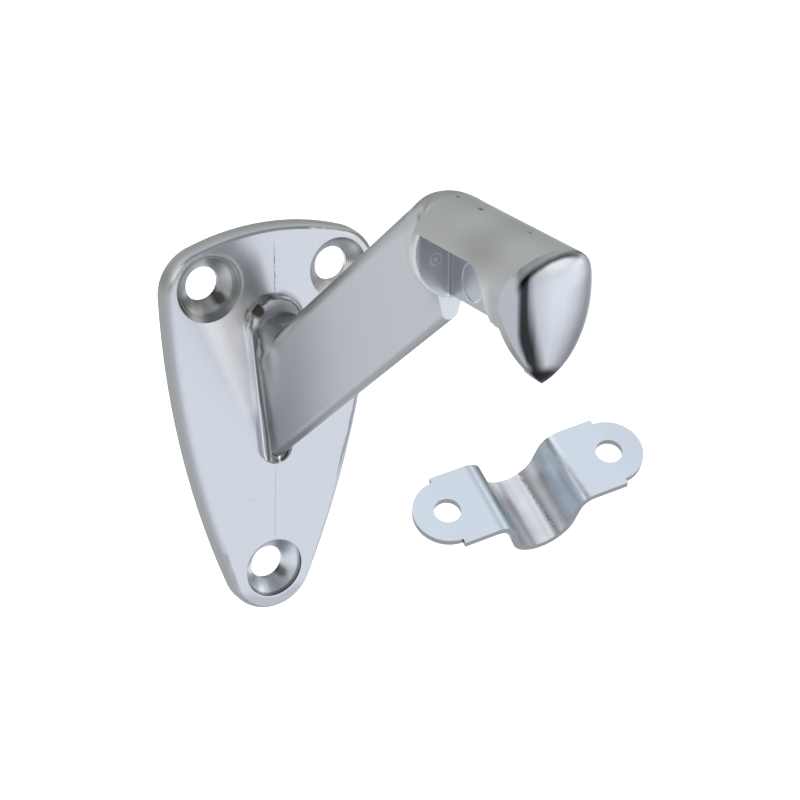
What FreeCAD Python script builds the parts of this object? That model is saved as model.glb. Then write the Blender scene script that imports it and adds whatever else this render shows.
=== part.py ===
"""Handrail bracket: one die-cast wall bracket with its arm and finger, and the pressed steel strap
that clamps the rail to it.

Frame: millimetres, +Z up. The origin is the middle of the plate's back face, which lies on the wall
(plane Y = 0). The bracket stands out towards -Y, and X = 0 is its plane of symmetry.
"""
import FreeCAD, Part
import math
import os
import Sketcher

V = FreeCAD.Vector

SIZES = [
    # wall plate
    ("plate_height", 70.0, "plate, top to bottom"),
    ("plate_thick", 3.95, "plate thickness at its centre"),
    ("plate_dome_r", 1000.0, "radius of the slightly bowed face, top to bottom"),
    ("plate_top_r", 43.6, "radius of the arched top edge"),
    ("plate_shoulder_r", 7.95, "radius of the two shoulders"),
    ("plate_shoulder_x", 11.9, "shoulder centre, off the middle"),
    ("plate_side_r", 163.0, "radius of the long bowed sides"),
    ("plate_foot_r", 7.94, "radius of the round foot"),
    ("plate_edge_r", 2.3, "round on the front edge"),
    # countersunk screw holes in the plate
    ("screw_hole_r", 3.0, "clearance hole for the wall screw"),
    ("screw_head_r", 5.3, "rim of the countersink"),
    ("screw_land", 0.85, "straight bore left behind the cone"),
    ("screw_cone", 2.35, "depth of the cone"),
    ("upper_hole_x", 12.1, "upper holes, off the middle"),
    ("upper_hole_z", 26.1, "upper holes, above the middle"),
    ("lower_hole_drop", 26.95, "lower hole, below the middle"),
    ("wide_rim_r", 5.92, "upper left hole only: outer radius of the worn rim above its cone"),
    ("wide_rim_foot", 3.1, "foot of that rim, out from the wall"),
    ("wide_rim_rise", 0.65, "height of the rim's steep side"),
    # raised bead round the root of the arm
    ("bead_top_r", 5.4, "bead outline, upper radius"),
    ("bead_top_z", 17.9, "bead outline, upper centre"),
    ("bead_foot_r", 2.9, "bead outline, lower radius"),
    ("bead_foot_drop", 4.1, "bead outline, lower centre below the middle"),
    ("bead_front", 5.7, "bead crest, out from the wall"),
    ("bead_edge_r", 1.25, "round on the bead's outer edge"),
    ("bead_gap", 0.32, "groove between bead and arm"),
    ("bead_gap_depth", 0.5, "depth of that groove"),
    ("bead_gap_top_z", 17.9, "top of that groove, below the flared root's shoulders"),
    # arm: a blade, wide at the top and narrow at the foot
    ("arm_angle", 37.8, "rise of the arm, degrees"),
    ("arm_ref_out", 5.0, "distance from the wall where the two next sizes hold"),
    ("arm_top_z", 15.8, "top of the arm there"),
    ("arm_foot_angle", 37.2, "rise of the arm's foot, degrees"),
    ("arm_foot_drop", 5.65, "foot of the arm there, below the middle"),
    ("arm_half_width", 3.7, "half the arm's width near its top"),
    ("arm_corner_r", 3.0, "round of the arm's upper edges"),
    ("arm_foot_r", 1.4, "round of the arm's foot"),
    ("arm_start", 1.5, "where the arm starts, inside the plate"),
    ("flare_out", 4.6, "start of the flared root, out from the wall"),
    ("flare_reach", 5.6, "length of the flared root"),
    ("flare_top_z", 20.8, "top of the flared root"),
    ("flare_half_width", 4.1, "half the width of the flared root"),
    ("elbow_end", 62.2, "end of the elbow inside the finger, out from the wall"),
    ("elbow_step", 2.05, "distance between the elbow's sections"),
    ("elbow_r", 8.0, "radius of the elbow's top line"),
    ("elbow_half_width", 6.2, "half the elbow's width where the finger starts"),
    ("keel_out", 61.3, "end face of the arm below the finger, out from the wall"),
    # finger: a level round bar that carries the rail
    ("finger_r", 7.75, "finger radius"),
    ("finger_z", 48.93, "height of the finger's axis"),
    ("finger_back", 61.4, "rear face of the finger, out from the wall"),
    ("finger_rim_r", 0.7, "round on the finger's rear rim"),
    # nose: the deeper end of the finger, with a pointed underside
    ("nose_tip_z", 35.5, "height of the nose's lowest point"),
    ("nose_flank_r", 22.4, "radius of its two bowed flanks"),
    ("nose_start", 84.5, "rear of the nose's point, out from the wall"),
    ("nose_reach", 91.9, "front of the nose, out from the wall"),
    ("cap_side_r", 8.87, "radius of the domed end, side to side"),
    ("cap_tall_r", 23.4, "radius of the domed end, top to bottom"),
    ("cap_mid_z", 49.6, "height of the foremost point"),
    # pockets on both sides of the finger, which leave a web for the strap
    ("web_half", 1.4, "half the thickness of the web"),
    ("web_foot_z", 41.9, "underside of the web"),
    ("pocket_start", 63.4, "rear wall of the pocket, out from the wall"),
    ("disc_edge_r", 0.45, "round on the pocket's edge of the rear disc"),
    ("pocket_end", 83.2, "front wall of the pocket"),
    ("pocket_roof_z", 52.0, "roof of the pocket"),
    ("pocket_corner_r", 5.5, "corner between roof and front wall"),
    ("lip_back", 85.8, "rear of the thin lip under the nose"),
    ("lip_top_z", 44.5, "top of that lip"),
    ("pin_mark_r", 2.9, "ejector pin mark on the web"),
    ("pin_mark_out", 69.6, "its centre, out from the wall"),
    ("pin_mark_z", 45.6, "height of its centre"),
    ("pin_mark_depth", 0.12, "its depth"),
    # strap: pressed steel strip with a trough and two ears
    ("strap_length", 44.3, "strap, end to end"),
    ("strap_width", 14.5, "strip width"),
    ("strap_thick", 1.3, "sheet thickness"),
    ("strap_hole_spacing", 32.0, "between the two rail screws"),
    ("strap_hole_r", 2.4, "hole for the rail screw"),
    ("strap_ear_r", 6.3, "radius of the rounded ears"),
    ("trough_depth", 10.0, "depth of the trough below the ears"),
    ("trough_r", 5.0, "radius inside the trough"),
    ("trough_wall_lean", 27.5, "lean of the trough's walls, degrees"),
    ("trough_bend_r", 4.0, "bend between ear and wall, upper face"),
    ("strap_x", 44.3, "strap, across from the bracket"),
    ("strap_out", 15.4, "strap, out from the wall"),
    ("strap_drop", 14.65, "strap, below the middle of the plate"),
    ("strap_yaw", -6.0, "turn of the strap about Z, degrees"),
    ("strap_pitch", -11.9, "turn about Y, degrees"),
    ("strap_roll", 32.3, "turn about X, degrees"),
]

doc = FreeCAD.newDocument("handrail_bracket")
sheet = doc.addObject("Spreadsheet::Sheet", "Sizes")
size = {}
for row, (alias, value, note) in enumerate(SIZES, start=1):
    sheet.set("A%d" % row, note)
    sheet.set("B%d" % row, repr(value))
    sheet.setAlias("B%d" % row, alias)
    size[alias] = value
doc.recompute()


def cells(text):
    """An expression with its words in braces read from the sheet."""
    return text.replace("{", "Sizes.").replace("}", "")


def plane(body, role):
    """The body's own origin plane of that role."""
    return next(f for f in body.Origin.OriginFeatures if f.Role == role)


def new_body(label):
    body = doc.addObject("PartDesign::Body", label)
    body.Label = label
    return body


def new_sketch(body, name, role, out=None):
    """A sketch on an origin plane. On XZ it can stand out from the wall by an expression."""
    sketch = body.newObject("Sketcher::SketchObject", name)
    sketch.AttachmentSupport = [(plane(body, role), "")]
    sketch.MapMode = "FlatFace"
    if out is not None:
        sketch.setExpression("AttachmentOffset.Base.z", cells(out))
    return sketch


class Outline:
    """Geometry and constraints of one sketch, each driven size bound to the sheet."""

    TANGENT_ENDS = {"arc": (1, 2), "line": (1, 2)}

    def __init__(self, sketch):
        self.sketch = sketch

    def line(self, a, b, construction=False):
        return self.sketch.addGeometry(Part.LineSegment(V(*a, 0), V(*b, 0)), construction)

    def arc(self, centre, radius, start, end):
        """Counter-clockwise arc, angles in degrees."""
        circle = Part.Circle(V(*centre, 0), V(0, 0, 1), radius)
        return self.sketch.addGeometry(
            Part.ArcOfCircle(circle, math.radians(start), math.radians(end)), False)

    def circle(self, centre, radius):
        return self.sketch.addGeometry(Part.Circle(V(*centre, 0), V(0, 0, 1), radius), False)

    def add(self, kind, *args):
        return self.sketch.addConstraint(Sketcher.Constraint(kind, *args))

    def drive(self, name, expression, kind, *args):
        """A driven dimension: args end with its value at the start."""
        index = self.add(kind, *args)
        self.sketch.renameConstraint(index, name)
        self.sketch.setExpression("Constraints." + name, cells(expression))
        return index

    def join(self, first, first_end, second, second_end):
        self.add("Tangent", first, first_end, second, second_end)

    def meet(self, first, first_end, second, second_end):
        self.add("Coincident", first, first_end, second, second_end)

    def on_mid(self, geo, point=3):
        """Puts a point on the sketch's upright axis."""
        self.add("PointOnObject", geo, point, -2)

    def radius(self, name, expression, geo, value):
        self.drive(name, expression, "Radius", geo, value)

    def height(self, name, expression, geo, point, value):
        """Height above the sketch's level axis; below it the expression is the drop."""
        if value >= 0:
            self.drive(name, expression, "DistanceY", -1, 1, geo, point, value)
        else:
            self.drive(name, "-(" + expression + ")", "DistanceY", geo, point, -1, 1, -value)

    def across(self, name, expression, geo, point, value):
        if value >= 0:
            self.drive(name, expression, "DistanceX", -1, 1, geo, point, value)
        else:
            self.drive(name, "-(" + expression + ")", "DistanceX", geo, point, -1, 1, -value)


def pad(body, name, sketch, length, midplane=False, reverse=False):
    feature = body.newObject("PartDesign::Pad", name)
    feature.Profile = sketch
    feature.setExpression("Length", cells(length))
    feature.Midplane = midplane
    feature.Reversed = reverse
    sketch.Visibility = False
    return feature


def pocket(body, name, sketch, length, midplane=False, reverse=False):
    feature = body.newObject("PartDesign::Pocket", name)
    feature.Profile = sketch
    feature.setExpression("Length", cells(length))
    feature.Midplane = midplane
    feature.Reversed = reverse
    sketch.Visibility = False
    return feature


def groove(body, name, sketch, axis, angle=360.0, midplane=False):
    feature = body.newObject("PartDesign::Groove", name)
    feature.Profile = sketch
    feature.ReferenceAxis = (sketch, [axis])
    feature.Angle = angle
    feature.Midplane = midplane
    sketch.Visibility = False
    return feature


def fillet(body, name, feature, radius, chosen):
    """Rounds those edges of the feature that the test picks."""
    doc.recompute()
    names = ["Edge%d" % (i + 1) for i, e in enumerate(feature.Shape.Edges) if chosen(e)]
    assert names, "no edge found for " + name
    result = body.newObject("PartDesign::Fillet", name)
    result.Base = (feature, names)
    result.setExpression("Radius", cells(radius))
    doc.recompute()
    return result


def egg(sketch, top_r, top_z, foot_r, foot_z):
    """Two arcs on the middle line joined by straight flanks; each size is (value, expression)."""
    lean = math.asin((top_r[0] - foot_r[0]) / (top_z[0] - foot_z[0]))
    turn = math.degrees(lean)
    o = Outline(sketch)

    def flank(side):
        ends = [(side * r * math.cos(lean), z - r * math.sin(lean))
                for r, z in ((top_r[0], top_z[0]), (foot_r[0], foot_z[0]))]
        return o.line(*ends)

    top = o.arc((0, top_z[0]), top_r[0], -turn, 180 + turn)
    foot = o.arc((0, foot_z[0]), foot_r[0], 180 + turn, 360 - turn)
    left, right = flank(-1), flank(1)
    o.join(top, 2, left, 1)
    o.join(left, 2, foot, 1)
    o.join(foot, 2, right, 2)
    o.join(right, 1, top, 1)
    o.on_mid(top)
    o.on_mid(foot)
    o.radius("top_r", top_r[1], top, top_r[0])
    o.radius("foot_r", foot_r[1], foot, foot_r[0])
    o.height("top_z", top_z[1], top, 3, top_z[0])
    o.height("foot_z", foot_z[1], foot, 3, foot_z[0])


def blade(sketch, half_width, top, foot):
    """The arm's upright section: crown, two round corners, leaning flanks and a round foot."""
    crown, corner, tip = size["finger_r"], size["arm_corner_r"], size["arm_foot_r"]
    crown_z, tip_z = top[0] - crown, foot[0] + tip
    corner_x = half_width[0] - corner
    corner_z = crown_z + math.sqrt((crown - corner) ** 2 - corner_x ** 2)
    reach = math.atan2(corner_z - crown_z, corner_x)
    span = math.hypot(corner_x, corner_z - tip_z)
    lean = math.asin((corner - tip) / span) + math.atan2(corner_x, corner_z - tip_z)
    crown_turn, turn = math.degrees(reach), math.degrees(lean)
    o = Outline(sketch)

    def flank(side):
        return o.line((side * (corner_x + corner * math.cos(lean)), corner_z - corner * math.sin(lean)),
                      (side * tip * math.cos(lean), tip_z - tip * math.sin(lean)))

    top_arc = o.arc((0, crown_z), crown, crown_turn, 180 - crown_turn)
    left_arc = o.arc((-corner_x, corner_z), corner, 180 - crown_turn, 180 + turn)
    left = flank(-1)
    tip_arc = o.arc((0, tip_z), tip, 180 + turn, 360 - turn)
    right = flank(1)
    right_arc = o.arc((corner_x, corner_z), corner, -turn, crown_turn)
    o.join(top_arc, 2, left_arc, 1)
    o.join(left_arc, 2, left, 1)
    o.join(left, 2, tip_arc, 1)
    o.join(tip_arc, 2, right, 2)
    o.join(right, 1, right_arc, 1)
    o.join(right_arc, 2, top_arc, 1)
    o.on_mid(top_arc)
    o.on_mid(tip_arc)
    o.radius("crown_r", "{finger_r}", top_arc, crown)
    o.radius("left_r", "{arm_corner_r}", left_arc, corner)
    o.radius("right_r", "{arm_corner_r}", right_arc, corner)
    o.radius("tip_r", "{arm_foot_r}", tip_arc, tip)
    o.height("crown_z", "(" + top[1] + ") - {finger_r}", top_arc, 3, crown_z)
    o.height("tip_z", "(" + foot[1] + ") + {arm_foot_r}", tip_arc, 3, tip_z)
    o.across("left_x", "{arm_corner_r} - (" + half_width[1] + ")", left_arc, 3, -corner_x)
    o.across("right_x", "(" + half_width[1] + ") - {arm_corner_r}", right_arc, 3, corner_x)


# ---- casting: plate -------------------------------------------------------------------------
casting = new_body("bracket_casting")

half_height = size["plate_height"] / 2
top_centre = half_height - size["plate_top_r"]
foot_centre = -(half_height - size["plate_foot_r"])
shoulder_x, shoulder_r = size["plate_shoulder_x"], size["plate_shoulder_r"]
shoulder_z = top_centre + math.sqrt((size["plate_top_r"] - shoulder_r) ** 2 - shoulder_x ** 2)
side_r, foot_r = size["plate_side_r"], size["plate_foot_r"]

# centre of the right side's long arc: inside tangent to the shoulder and to the foot
span_x, span_z = shoulder_x, shoulder_z - foot_centre
span = math.hypot(span_x, span_z)
to_shoulder, to_foot = side_r - shoulder_r, side_r - foot_r
along = (to_foot ** 2 - to_shoulder ** 2 + span ** 2) / (2 * span)
off = math.sqrt(to_foot ** 2 - along ** 2)
ux, uz = span_x / span, span_z / span
side_x = along * ux - off * uz
side_z = foot_centre + along * uz + off * ux


def bearing(a, b):
    return math.degrees(math.atan2(b[1] - a[1], b[0] - a[0]))


top_turn = bearing((0, top_centre), (shoulder_x, shoulder_z))
shoulder_turn = bearing((side_x, side_z), (shoulder_x, shoulder_z))
foot_turn = bearing((side_x, side_z), (0, foot_centre))

plate_sketch = new_sketch(casting, "PlateOutline", "XZ_Plane")
o = Outline(plate_sketch)
arch = o.arc((0, top_centre), size["plate_top_r"], top_turn, 180 - top_turn)
shoulder_left = o.arc((-shoulder_x, shoulder_z), shoulder_r, 180 - top_turn, 180 - shoulder_turn)
side_left = o.arc((-side_x, side_z), side_r, 180 - shoulder_turn, 180 - foot_turn)
foot = o.arc((0, foot_centre), foot_r, 180 - foot_turn, 360 + foot_turn)
side_right = o.arc((side_x, side_z), side_r, foot_turn, shoulder_turn)
shoulder_right = o.arc((shoulder_x, shoulder_z), shoulder_r, shoulder_turn, top_turn)
ring = [arch, shoulder_left, side_left, foot, side_right, shoulder_right]
for first, second in zip(ring, ring[1:] + ring[:1]):
    o.join(first, 2, second, 1)
o.on_mid(arch)
o.on_mid(foot)
o.radius("arch_r", "{plate_top_r}", arch, size["plate_top_r"])
o.radius("foot_r", "{plate_foot_r}", foot, foot_r)
for name, geo in (("left", side_left), ("right", side_right)):
    o.radius("side_" + name, "{plate_side_r}", geo, side_r)
for name, geo in (("left", shoulder_left), ("right", shoulder_right)):
    o.radius("shoulder_" + name, "{plate_shoulder_r}", geo, shoulder_r)
o.across("shoulder_left_x", "-{plate_shoulder_x}", shoulder_left, 3, -shoulder_x)
o.across("shoulder_right_x", "{plate_shoulder_x}", shoulder_right, 3, shoulder_x)
o.height("arch_z", "{plate_height} / 2 - {plate_top_r}", arch, 3, top_centre)
o.height("foot_z", "{plate_foot_r} - {plate_height} / 2", foot, 3, foot_centre)
plate_pad = pad(casting, "Plate", plate_sketch, "{plate_thick}")


def on_front_rim(edge):
    """Every point of the plate's front outline lies well clear of the back face."""
    box = edge.BoundBox
    return box.YMax < -1.5


plate_round = fillet(casting, "PlateEdge", plate_pad, "{plate_edge_r}", on_front_rim)

# the face falls away towards the top and the foot as one shallow arc
dome_sketch = new_sketch(casting, "DomeProfile", "YZ_Plane")
o = Outline(dome_sketch)
dome_r, thick = size["plate_dome_r"], size["plate_thick"]
dome_edge = half_height + 6
dome_turn = math.degrees(math.asin(dome_edge / dome_r))
rim_out = thick - dome_r + math.sqrt(dome_r ** 2 - dome_edge ** 2)
face = o.arc((dome_r - thick, 0), dome_r, 180 - dome_turn, 180 + dome_turn)
under = o.line((-rim_out, -dome_edge), (-thick - 4, -dome_edge))
front = o.line((-thick - 4, -dome_edge), (-thick - 4, dome_edge))
over = o.line((-thick - 4, dome_edge), (-rim_out, dome_edge))
o.meet(face, 2, under, 1)
o.meet(under, 2, front, 1)
o.meet(front, 2, over, 1)
o.meet(over, 2, face, 1)
o.add("Horizontal", under)
o.add("Vertical", front)
o.add("Horizontal", over)
o.add("PointOnObject", face, 3, -1)
o.radius("dome_r", "{plate_dome_r}", face, dome_r)
o.across("dome_out", "{plate_dome_r} - {plate_thick}", face, 3, dome_r - thick)
o.across("front_out", "-({plate_thick} + 4)", front, 1, -thick - 4)
o.height("low", "-({plate_height} / 2 + 6)", under, 1, -dome_edge)
o.height("high", "{plate_height} / 2 + 6", over, 1, dome_edge)
dome = pocket(casting, "DomedFace", dome_sketch, "2 * ({plate_shoulder_x} + {plate_shoulder_r} + 6)", True)


# ---- casting: bead round the arm's root --------------------------------------------------------
bead_sketch = new_sketch(casting, "BeadOutline", "XZ_Plane", "{arm_start}")
egg(bead_sketch,
    (size["bead_top_r"], "{bead_top_r}"), (size["bead_top_z"], "{bead_top_z}"),
    (size["bead_foot_r"], "{bead_foot_r}"), (-size["bead_foot_drop"], "-{bead_foot_drop}"))
bead_pad = pad(casting, "Bead", bead_sketch, "{bead_front} - {arm_start}")


def on_bead_crest(edge):
    box = edge.BoundBox
    return abs(box.YMin + size["bead_front"]) < 0.01 and abs(box.YMax + size["bead_front"]) < 0.01


bead_round = fillet(casting, "BeadEdge", bead_pad, "{bead_edge_r}", on_bead_crest)


# ---- casting: arm and elbow -----------------------------------------------------------------------
rise, foot_rise = math.radians(size["arm_angle"]), math.radians(size["arm_foot_angle"])
finger_top = size["finger_z"] + size["finger_r"]
TOP = "{arm_top_z} + tan({arm_angle}) * ((%s) - {arm_ref_out})"
FOOT = "tan({arm_foot_angle}) * ((%s) - {arm_ref_out}) - {arm_foot_drop}"
LEVEL = "{finger_z} + {finger_r}"


def arm_top(out):
    return size["arm_top_z"] + math.tan(rise) * (out - size["arm_ref_out"])


def arm_foot(out):
    return math.tan(foot_rise) * (out - size["arm_ref_out"]) - size["arm_foot_drop"]


# the elbow's top line is an arc of radius elbow_r between the arm's slope and the level finger
elbow_r = size["elbow_r"]
reach = elbow_r * math.tan(rise / 2)
bend_out = size["arm_ref_out"] + (finger_top - size["arm_top_z"]) / math.tan(rise)
bend_start, bend_end = bend_out - reach * math.cos(rise), bend_out + reach
BEND_END = ("({arm_ref_out} + (" + LEVEL + " - {arm_top_z}) / tan({arm_angle})"
            " + {elbow_r} * tan({arm_angle} / 2))")


def top_line(out, out_text):
    """Height of the arm's or elbow's top at that distance, as a value and an expression."""
    if out <= bend_start:
        return arm_top(out), TOP % out_text
    if out >= bend_end:
        return finger_top, LEVEL
    value = finger_top - elbow_r + math.sqrt(elbow_r ** 2 - (bend_end - out) ** 2)
    return value, LEVEL + " - {elbow_r} + sqrt({elbow_r}^2 - (%s - (%s))^2)" % (BEND_END, out_text)


def arm_section(name, out, out_text, share=0.0):
    """Upright section of the arm; share is how far it has widened towards the elbow's end."""
    widening = size["elbow_half_width"] - size["arm_half_width"]
    half = (size["arm_half_width"] + share * widening,
            "{arm_half_width} + %r * ({elbow_half_width} - {arm_half_width})" % share)
    sketch = new_sketch(casting, "ArmSection" + name, "XZ_Plane", out_text)
    blade(sketch, half, top_line(out, out_text), (arm_foot(out), FOOT % out_text))
    return sketch


def loft(name, sections, ruled):
    feature = casting.newObject("PartDesign::AdditiveLoft", name)
    feature.Profile = sections[0]
    feature.Sections = sections[1:]
    feature.Ruled = ruled
    for section in sections:
        section.Visibility = False
    doc.recompute()
    return feature


# groove between bead and arm, cut before the arm fills its middle
flare_out, flare_half = size["flare_out"], size["flare_half_width"]
foot_r, gap = size["arm_foot_r"], size["bead_gap"]
gap_sketch = new_sketch(casting, "GapOutline", "XZ_Plane", "{bead_front}")
egg(gap_sketch,
    (flare_half + gap, "{flare_half_width} + {bead_gap}"),
    (size["bead_gap_top_z"] - flare_half, "{bead_gap_top_z} - {flare_half_width}"),
    (foot_r + gap, "{arm_foot_r} + {bead_gap}"),
    (arm_foot(flare_out) + foot_r, FOOT % "{flare_out}" + " + {arm_foot_r}"))
gap_cut = pocket(casting, "BeadGap", gap_sketch, "{bead_gap_depth}")
doc.recompute()

first_out = size["elbow_end"] - 5 * size["elbow_step"]
root = arm_section("Root", size["arm_start"], "{arm_start}")
sections = []
for index, share in enumerate((0.0, 0.0, 0.02, 0.1, 0.45, 1.0)):
    back = 5 - index
    sections.append(arm_section("Elbow%d" % index, size["elbow_end"] - back * size["elbow_step"],
                                "{elbow_end} - %d * {elbow_step}" % back, share))
doc.recompute()
arm = loft("Arm", [root, sections[0]], True)
elbow = loft("Elbow", sections, False)

flare_sketch = new_sketch(casting, "FlareSection", "XZ_Plane", "{flare_out}")
blade(flare_sketch, (flare_half, "{flare_half_width}"), (size["flare_top_z"], "{flare_top_z}"),
      (arm_foot(flare_out), FOOT % "{flare_out}"))
flare_end = arm_section("FlareEnd", flare_out + size["flare_reach"], "{flare_out} + {flare_reach}")
doc.recompute()
flare = loft("ArmFlare", [flare_sketch, flare_end], True)


# ---- casting: finger and nose -----------------------------------------------------------------------
finger_sketch = new_sketch(casting, "FingerProfile", "YZ_Plane")
o = Outline(finger_sketch)
mid, bar_r, rim = size["finger_z"], size["finger_r"], size["finger_rim_r"]
rear_out, front_out = size["finger_back"], size["nose_start"] + 1
spindle = o.line((-rear_out, mid), (-front_out, mid), True)
rear = o.line((-rear_out, mid), (-rear_out, mid + bar_r - rim))
rim_arc = o.arc((-rear_out - rim, mid + bar_r - rim), rim, 0, 90)
side = o.line((-rear_out - rim, mid + bar_r), (-front_out, mid + bar_r))
front = o.line((-front_out, mid + bar_r), (-front_out, mid))
base_line = o.line((-front_out, mid), (-rear_out, mid))
o.join(rear, 2, rim_arc, 1)
o.join(rim_arc, 2, side, 1)
o.meet(side, 2, front, 1)
o.meet(front, 2, base_line, 1)
o.meet(base_line, 2, rear, 1)
o.meet(spindle, 1, rear, 1)
o.meet(spindle, 2, front, 2)
o.add("Vertical", rear)
o.add("Horizontal", side)
o.add("Vertical", front)
o.add("Horizontal", base_line)
o.across("rear", "-{finger_back}", rear, 1, -rear_out)
o.height("mid", "{finger_z}", rear, 1, mid)
o.radius("rim_r", "{finger_rim_r}", rim_arc, rim)
o.drive("finger_r", "{finger_r}", "DistanceY", front, 2, front, 1, bar_r)
o.across("front", "-({nose_start} + 1)", front, 1, -front_out)
finger = casting.newObject("PartDesign::Revolution", "Finger")
finger.Profile = finger_sketch
finger.ReferenceAxis = (finger_sketch, ["Axis0"])
finger.Angle = 360.0
finger_sketch.Visibility = False
doc.recompute()

nose_sketch = new_sketch(casting, "NoseSection", "XZ_Plane", "{nose_start}")
o = Outline(nose_sketch)
bar_r, bar_z, tip_z, flank_r = (size[k] for k in
                                ("finger_r", "finger_z", "nose_tip_z", "nose_flank_r"))
flank_z = ((flank_r ** 2 - (flank_r - bar_r) ** 2) - (tip_z ** 2 - bar_z ** 2)) / (2 * (bar_z - tip_z))
flank_x = math.sqrt(flank_r ** 2 - (flank_z - tip_z) ** 2)
join_turn = bearing((-flank_x, flank_z), (0, bar_z))
tip_turn = bearing((-flank_x, flank_z), (0, tip_z))
crown = o.arc((0, bar_z), bar_r, join_turn, 180 - join_turn)
left = o.arc((flank_x, flank_z), flank_r, 180 - join_turn, 180 - tip_turn)
right = o.arc((-flank_x, flank_z), flank_r, tip_turn, join_turn)
o.join(crown, 2, left, 1)
o.join(right, 2, crown, 1)
o.meet(left, 2, right, 1)
o.on_mid(crown)
o.on_mid(left, 2)
o.radius("crown_r", "{finger_r}", crown, bar_r)
o.radius("left_r", "{nose_flank_r}", left, flank_r)
o.radius("right_r", "{nose_flank_r}", right, flank_r)
o.height("crown_z", "{finger_z}", crown, 3, bar_z)
o.height("tip_z", "{nose_tip_z}", left, 2, tip_z)
nose = pad(casting, "Nose", nose_sketch, "{nose_reach} + 1 - {nose_start}")
doc.recompute()

# the end is domed: an arc in the middle plane, turned about an upright axis inside the nose
cap_sketch = new_sketch(casting, "CapProfile", "YZ_Plane")
o = Outline(cap_sketch)
cap_out, cap_r, cap_z = size["nose_reach"], size["cap_tall_r"], size["cap_mid_z"]
low, high = tip_z - 3, bar_z + bar_r + 3
low_out = cap_out - cap_r + math.sqrt(cap_r ** 2 - (cap_z - low) ** 2)
high_out = cap_out - cap_r + math.sqrt(cap_r ** 2 - (high - cap_z) ** 2)
far_out = cap_out + 6
axis_out = cap_out - size["cap_side_r"]
pivot = o.line((-axis_out, low), (-axis_out, high), True)
skin = o.arc((cap_r - cap_out, cap_z), cap_r,
             bearing((cap_r - cap_out, cap_z), (-high_out, high)),
             360 + bearing((cap_r - cap_out, cap_z), (-low_out, low)))
under = o.line((-low_out, low), (-far_out, low))
outside = o.line((-far_out, low), (-far_out, high))
over = o.line((-far_out, high), (-high_out, high))
o.meet(skin, 2, under, 1)
o.meet(under, 2, outside, 1)
o.meet(outside, 2, over, 1)
o.meet(over, 2, skin, 1)
o.add("Horizontal", under)
o.add("Vertical", outside)
o.add("Horizontal", over)
o.add("Vertical", pivot)
o.radius("cap_r", "{cap_tall_r}", skin, cap_r)
o.across("cap_out", "{cap_tall_r} - {nose_reach}", skin, 3, cap_r - cap_out)
o.height("cap_z", "{cap_mid_z}", skin, 3, cap_z)
o.height("low", "{nose_tip_z} - 3", under, 2, low)
o.height("high", "{finger_z} + {finger_r} + 3", outside, 2, high)
o.across("far", "-({nose_reach} + 6)", outside, 2, -far_out)
o.across("pivot_out", "{cap_side_r} - {nose_reach}", pivot, 1, -axis_out)
o.height("pivot_low", "{nose_tip_z} - 3", pivot, 1, low)
o.height("pivot_high", "{finger_z} + {finger_r} + 3", pivot, 2, high)
cap = groove(casting, "DomedEnd", cap_sketch, "Axis0", 180.0, True)
doc.recompute()


# ---- casting: pockets, web and lip ---------------------------------------------------------------------
pocket_sketch = new_sketch(casting, "PocketProfile", "YZ_Plane", "{web_half}")
o = Outline(pocket_sketch)
start, end, roof = size["pocket_start"], size["pocket_end"], size["pocket_roof_z"]
corner_r, lip, lip_z = size["pocket_corner_r"], size["lip_back"], size["lip_top_z"]
base = tip_z - 3
rear = o.line((-start, base), (-start, roof))
ceiling = o.line((-start, roof), (corner_r - end, roof))
corner = o.arc((corner_r - end, roof - corner_r), corner_r, 90, 180)
front = o.line((-end, roof - corner_r), (-end, lip_z))
shelf = o.line((-end, lip_z), (-lip, lip_z))
lip_wall = o.line((-lip, lip_z), (-lip, base))
floor = o.line((-lip, base), (-start, base))
o.meet(rear, 2, ceiling, 1)
o.join(ceiling, 2, corner, 1)
o.join(corner, 2, front, 1)
o.meet(front, 2, shelf, 1)
o.meet(shelf, 2, lip_wall, 1)
o.meet(lip_wall, 2, floor, 1)
o.meet(floor, 2, rear, 1)
for geo in (rear, front, lip_wall):
    o.add("Vertical", geo)
for geo in (ceiling, shelf, floor):
    o.add("Horizontal", geo)
o.radius("corner_r", "{pocket_corner_r}", corner, corner_r)
o.across("start", "-{pocket_start}", rear, 1, -start)
o.height("roof", "{pocket_roof_z}", rear, 2, roof)
o.across("end", "-{pocket_end}", front, 2, -end)
o.height("lip_z", "{lip_top_z}", front, 2, lip_z)
o.across("lip", "-{lip_back}", lip_wall, 1, -lip)
o.height("base", "{nose_tip_z} - 3", floor, 1, base)
side_pocket = pocket(casting, "PocketRight", pocket_sketch, "{finger_r} + 4", reverse=True)
doc.recompute()
pocket_pair = casting.newObject("PartDesign::Mirrored", "PocketPair")
pocket_pair.Originals = [side_pocket]
pocket_pair.MirrorPlane = (plane(casting, "YZ_Plane"), [""])
casting.Tip = pocket_pair
doc.recompute()

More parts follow.
